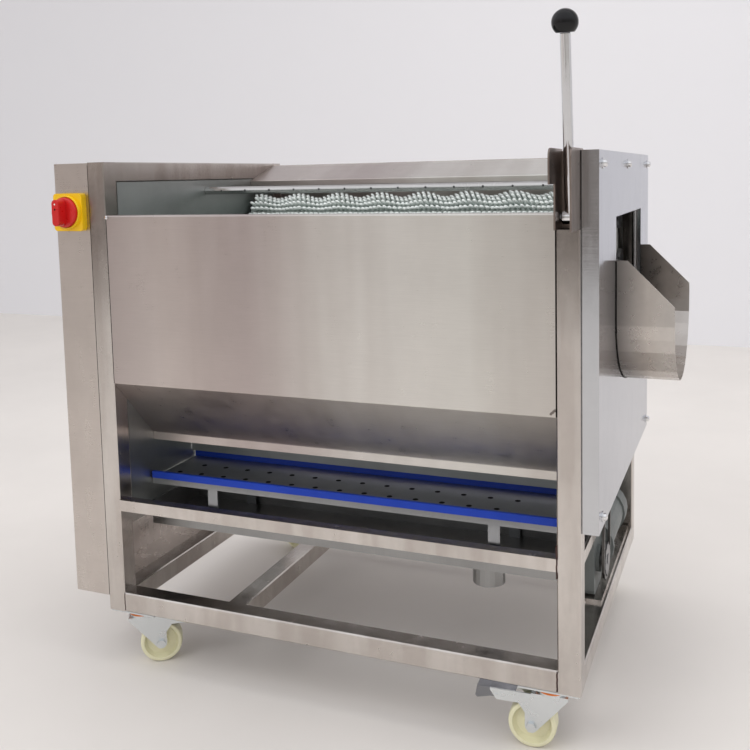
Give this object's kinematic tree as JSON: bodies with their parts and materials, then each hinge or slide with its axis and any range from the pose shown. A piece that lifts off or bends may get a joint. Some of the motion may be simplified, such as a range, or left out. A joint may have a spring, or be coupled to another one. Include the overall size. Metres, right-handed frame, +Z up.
{
  "type": "roller vegetable washer",
  "caption": "Mobile washing and peeling machine with brush rollers around a trough, a tube frame on swivel casters, a spray pipe, a lever gate and a discharge chute.",
  "frame": {"origin": "centre of the machine's footprint, on the floor", "axes": "+X along the rollers towards the discharge chute, +Y from the front to the back, +Z up"},
  "size_m": [1.043, 0.718, 1.104],
  "materials": {
    "stainless": "satin stainless sheet and tube",
    "steel": "plain machined steel",
    "chrome": "bright plated",
    "zinc": "bluish zinc plated",
    "black_plastic": "glossy",
    "white_plastic": "matt",
    "blue_rubber": "satin",
    "cast_paint": "painted grey casting",
    "yellow_plastic": "satin",
    "red_plastic": "glossy",
    "bristle": "nylon bristle",
    "nylon": "cream nylon"
  },
  "bodies": {
    "frame": {"welded_frame": "stainless", "front_panel": "stainless", "rear_panel": "stainless", "hopper_plate": "stainless", "left_end_plate": "stainless", "right_end_plate": "stainless", "left_box": "stainless", "chain_cover": "stainless", "discharge_chute": "stainless", "lever_bracket": "stainless", "spray_pipe": "stainless", "sump_pan": "stainless", "strainer_tray": "stainless", "motor_chain": "steel", "roller_chain": "steel", "left_bearing_strip": "white_plastic", "right_bearing_strip": "white_plastic", "front_tray_trim": "blue_rubber", "rear_tray_trim": "blue_rubber", "gearbox": "cast_paint", "motor": "cast_paint", "switch_plate": "yellow_plastic", "front_left_caster_plate": "zinc", "front_right_caster_plate": "zinc", "rear_left_caster_plate": "zinc", "rear_right_caster_plate": "zinc"},
    "gate": {"discharge_gate": "stainless"},
    "lever": {"lever_shaft": "steel", "lever_rod": "chrome", "lever_knob": "black_plastic"},
    "switch": {"switch_knob": "red_plastic"},
    "tensioner": {"tension_sprocket": "steel"},
    "drive": {"motor_sprocket": "steel"},
    "roller_5": {"roller_shaft_5": "steel", "roller_brush_5": "bristle"},
    "roller_1": {"roller_shaft_1": "steel", "roller_brush_1": "bristle"},
    "roller_2": {"roller_shaft_2": "steel", "roller_brush_2": "bristle"},
    "roller_3": {"roller_shaft_3": "steel", "roller_brush_3": "bristle"},
    "roller_4": {"roller_shaft_4": "steel", "roller_brush_4": "bristle"},
    "roller_6": {"roller_shaft_6": "steel", "roller_brush_6": "bristle"},
    "roller_7": {"roller_shaft_7": "steel", "roller_brush_7": "bristle"},
    "roller_8": {"roller_shaft_8": "steel", "roller_brush_8": "bristle"},
    "front_left_fork": {"front_left_caster_fork": "zinc"},
    "front_left_wheel": {"front_left_caster_wheel": "nylon"},
    "front_left_pedal": {"front_left_brake_pedal": "chrome"},
    "front_right_fork": {"front_right_caster_fork": "zinc"},
    "front_right_wheel": {"front_right_caster_wheel": "nylon"},
    "front_right_pedal": {"front_right_brake_pedal": "chrome"},
    "rear_left_fork": {"rear_left_caster_fork": "zinc"},
    "rear_left_wheel": {"rear_left_caster_wheel": "nylon"},
    "rear_right_fork": {"rear_right_caster_fork": "zinc"},
    "rear_right_wheel": {"rear_right_caster_wheel": "nylon"}
  },
  "joints": [
    {"name": "roller_5_spin", "type": "hinge", "parent": "frame", "child": "roller_5", "pos_m": [-0.0285, 0.02437, 0.52952], "axis": [1, 0, 0], "continuous": true},
    {"name": "roller_1_spin", "type": "hinge", "parent": "frame", "child": "roller_1", "pos_m": [-0.0285, 0.21297, 0.79988], "axis": [1, 0, 0], "continuous": true},
    {"name": "roller_2_spin", "type": "hinge", "parent": "frame", "child": "roller_2", "pos_m": [-0.0285, 0.2336, 0.702], "axis": [1, 0, 0], "continuous": true},
    {"name": "roller_3_spin", "type": "hinge", "parent": "frame", "child": "roller_3", "pos_m": [-0.0285, 0.20053, 0.60759], "axis": [1, 0, 0], "continuous": true},
    {"name": "roller_4_spin", "type": "hinge", "parent": "frame", "child": "roller_4", "pos_m": [-0.0285, 0.12335, 0.54396], "axis": [1, 0, 0], "continuous": true},
    {"name": "roller_6_spin", "type": "hinge", "parent": "frame", "child": "roller_6", "pos_m": [-0.0285, -0.06778, 0.56845], "axis": [1, 0, 0], "continuous": true},
    {"name": "roller_7_spin", "type": "hinge", "parent": "frame", "child": "roller_7", "pos_m": [-0.0285, -0.12643, 0.64947], "axis": [1, 0, 0], "continuous": true},
    {"name": "roller_8_spin", "type": "hinge", "parent": "frame", "child": "roller_8", "pos_m": [-0.0285, -0.13463, 0.74917], "axis": [1, 0, 0], "continuous": true},
    {"name": "tension_sprocket_spin", "type": "hinge", "parent": "frame", "child": "tensioner", "pos_m": [0.3905, -0.13463, 0.834], "axis": [1, 0, 0], "continuous": true},
    {"name": "motor_sprocket_spin", "type": "hinge", "parent": "frame", "child": "drive", "pos_m": [0.4, -0.009, 0.201], "axis": [1, 0, 0], "continuous": true},
    {"name": "lever_swing", "type": "hinge", "parent": "frame", "child": "lever", "pos_m": [0.3895, -0.281, 0.817], "axis": [1, 0, 0], "range_deg": [0, 38]},
    {"name": "gate_slide", "type": "slide", "parent": "frame", "child": "gate", "axis": [0, 0, 1], "range_m": [0, 0.1215]},
    {"name": "switch_turn", "type": "hinge", "parent": "frame", "child": "switch", "pos_m": [-0.4855, -0.299, 0.83], "axis": [0, 1, 0], "range_deg": [0, 90]},
    {"name": "front_left_swivel", "type": "hinge", "parent": "frame", "child": "front_left_fork", "pos_m": [-0.3995, -0.265, 0.106], "axis": [0, 0, 1], "continuous": true},
    {"name": "front_left_roll", "type": "hinge", "parent": "front_left_fork", "child": "front_left_wheel", "pos_m": [-0.37434, -0.24866, 0.0375], "axis": [-0.5446, 0.8387, 0], "continuous": true},
    {"name": "front_left_brake", "type": "hinge", "parent": "front_left_fork", "child": "front_left_pedal", "pos_m": [-0.32905, -0.21925, 0.0794], "axis": [-0.5446, 0.8387, 0], "range_deg": [0, 10]},
    {"name": "front_right_swivel", "type": "hinge", "parent": "frame", "child": "front_right_fork", "pos_m": [0.3575, -0.265, 0.106], "axis": [0, 0, 1], "continuous": true},
    {"name": "front_right_roll", "type": "hinge", "parent": "front_right_fork", "child": "front_right_wheel", "pos_m": [0.32754, -0.26657, 0.0375], "axis": [0.0523, -0.9986, 0], "continuous": true},
    {"name": "front_right_brake", "type": "hinge", "parent": "front_right_fork", "child": "front_right_pedal", "pos_m": [0.27361, -0.2694, 0.0794], "axis": [0.0523, -0.9986, 0], "range_deg": [0, 10]},
    {"name": "rear_left_swivel", "type": "hinge", "parent": "frame", "child": "rear_left_fork", "pos_m": [-0.3995, 0.307, 0.106], "axis": [0, 0, 1], "continuous": true},
    {"name": "rear_left_roll", "type": "hinge", "parent": "rear_left_fork", "child": "rear_left_wheel", "pos_m": [-0.37301, 0.29292, 0.0375], "axis": [0.4695, 0.8829, 0], "continuous": true},
    {"name": "rear_right_swivel", "type": "hinge", "parent": "frame", "child": "rear_right_fork", "pos_m": [0.3575, 0.307, 0.106], "axis": [0, 0, 1], "continuous": true},
    {"name": "rear_right_roll", "type": "hinge", "parent": "rear_right_fork", "child": "rear_right_wheel", "pos_m": [0.33077, 0.29338, 0.0375], "axis": [0.454, -0.891, 0], "continuous": true}
  ],
  "couplings": [
    {"joint": "roller_1_spin", "follows": "roller_5_spin", "ratio": 1},
    {"joint": "roller_2_spin", "follows": "roller_5_spin", "ratio": 1},
    {"joint": "roller_3_spin", "follows": "roller_5_spin", "ratio": 1},
    {"joint": "roller_4_spin", "follows": "roller_5_spin", "ratio": 1},
    {"joint": "roller_6_spin", "follows": "roller_5_spin", "ratio": 1},
    {"joint": "roller_7_spin", "follows": "roller_5_spin", "ratio": 1},
    {"joint": "roller_8_spin", "follows": "roller_5_spin", "ratio": 1},
    {"joint": "tension_sprocket_spin", "follows": "roller_5_spin", "ratio": 1},
    {"joint": "motor_sprocket_spin", "follows": "roller_5_spin", "ratio": 1},
    {"joint": "gate_slide", "follows": "lever_swing", "m_per_rad": 0.1831}
  ]
}
